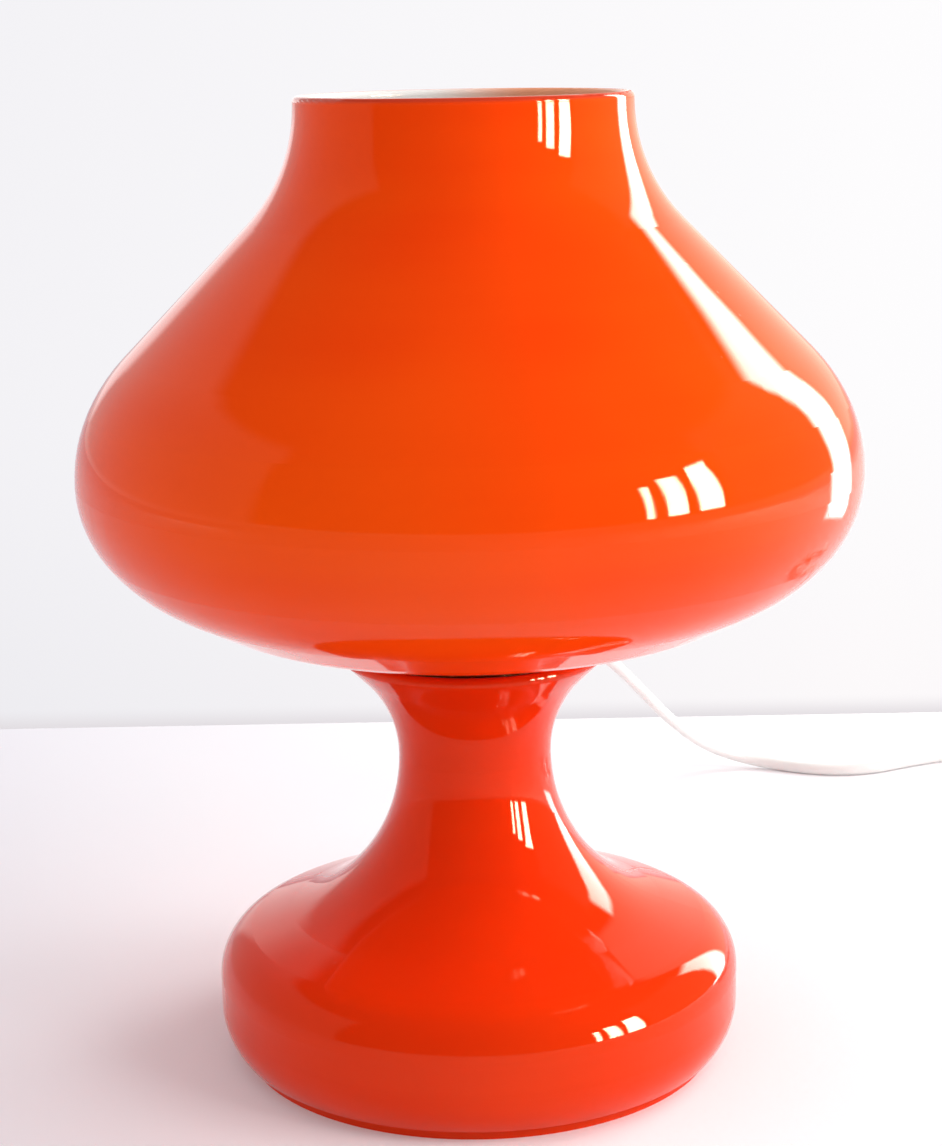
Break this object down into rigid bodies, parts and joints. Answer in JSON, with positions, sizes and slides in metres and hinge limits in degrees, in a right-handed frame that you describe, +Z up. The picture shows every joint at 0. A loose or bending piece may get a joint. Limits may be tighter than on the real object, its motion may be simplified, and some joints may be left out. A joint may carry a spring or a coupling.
{
  "type": "mushroom table lamp",
  "caption": "Table lamp in blown cased glass: a rounded base with a narrow waist carries a lift-off shade, wide and open at the top, over a screw bulb.",
  "frame": {"origin": "centre of the foot ring, on the table", "axes": "+Z up along the lamp's axis; +Y to the back, where the cord leaves; +X to the right seen from the front"},
  "size_m": [0.4939, 0.4408, 0.3251],
  "materials": {
    "cased_glass": "glossy blown cased glass, orange-red outside, opal white inside",
    "brass_sheet": "spun brass sheet, satin",
    "soft_gasket": "soft white silicone",
    "plated_steel": "zinc-plated steel",
    "lacquered_pan": "white stove-enamelled steel sheet",
    "white_nylon": "natural nylon",
    "white_pvc": "smooth white PVC",
    "holder_plastic": "white moulded thermoset",
    "porcelain": "glazed white porcelain",
    "contact_brass": "bright brass",
    "core_insulation": "brown core insulation",
    "solder": "solder, dull",
    "dark_glass": "black glass insulator",
    "bulb_aluminium": "rolled aluminium thread",
    "bulb_envelope": "frosted glass envelope",
    "clear_glass": "clear glass stem",
    "lead_wire": "nickel wire",
    "filament_wire": "tungsten wire",
    "white_plastic": "white moulded plastic",
    "pin_metal": "nickel-plated brass",
    "dark_sleeve": "black insulating sleeve",
    "tie_plastic": "white plastic-covered tie"
  },
  "bodies": {
    "root": {"centre_contact": "contact_brass", "coil_tie": "tie_plastic", "cord_coil": "white_pvc", "cord_grommet": "white_nylon", "cord_inner_end": "white_pvc", "cord_lead": "white_pvc", "cord_link": "white_pvc", "cord_tail": "white_pvc", "foot_gasket": "soft_gasket", "foot_pan": "lacquered_pan", "gallery_cup": "brass_sheet", "gallery_nut": "plated_steel", "gallery_washer": "plated_steel", "glass_base": "cased_glass", "holder_body": "holder_plastic", "holder_cap": "holder_plastic", "holder_cores": "core_insulation", "lip_gasket": "soft_gasket", "pan_nut": "plated_steel", "pan_washer": "plated_steel", "plug_body": "white_pvc", "plug_cord_end": "white_pvc", "plug_pin_sleeves": "dark_sleeve", "plug_pins": "pin_metal", "plug_strain_relief": "white_pvc", "porcelain_insert": "porcelain", "rocker_pin": "plated_steel", "screw_shell": "contact_brass", "shade_seat_ring": "soft_gasket", "side_contact": "contact_brass", "strain_relief": "white_pvc", "switch_base": "white_plastic", "switch_contacts": "contact_brass", "switch_cores": "core_insulation", "switch_cover": "white_plastic", "switch_screws": "plated_steel", "terminal_screws": "contact_brass", "tie_rod": "plated_steel"},
    "shade": {"glass_shade": "cased_glass"},
    "bulb_tip": {"bulb_tip": "solder"},
    "bulb": {"bulb_insulator": "dark_glass", "bulb_cap": "bulb_aluminium", "bulb_glass": "bulb_envelope", "bulb_stem": "clear_glass", "bulb_leads": "lead_wire", "bulb_filament": "filament_wire"},
    "rocker": {"switch_rocker": "white_plastic"}
  },
  "joints": [
    {"name": "shade_lift", "type": "slide", "parent": "root", "child": "shade", "axis": [0, 0, 1], "range_m": [0, 0.13]},
    {"name": "bulb_rise", "type": "slide", "parent": "root", "child": "bulb_tip", "axis": [0, 0, 1], "range_m": [0, 0.01814]},
    {"name": "bulb_turn", "type": "hinge", "parent": "bulb_tip", "child": "bulb", "pos_m": [0, 0, 0.165], "axis": [0, 0, 1], "range_deg": [0, 1800]},
    {"name": "rocker_tip", "type": "hinge", "parent": "root", "child": "rocker", "pos_m": [0.2696, 0.225, 0.0096], "axis": [-1, 0, 0], "range_deg": [0, 14]}
  ],
  "couplings": [
    {"joint": "bulb_turn", "follows": "bulb_rise", "rad_per_m": 1731.4}
  ]
}
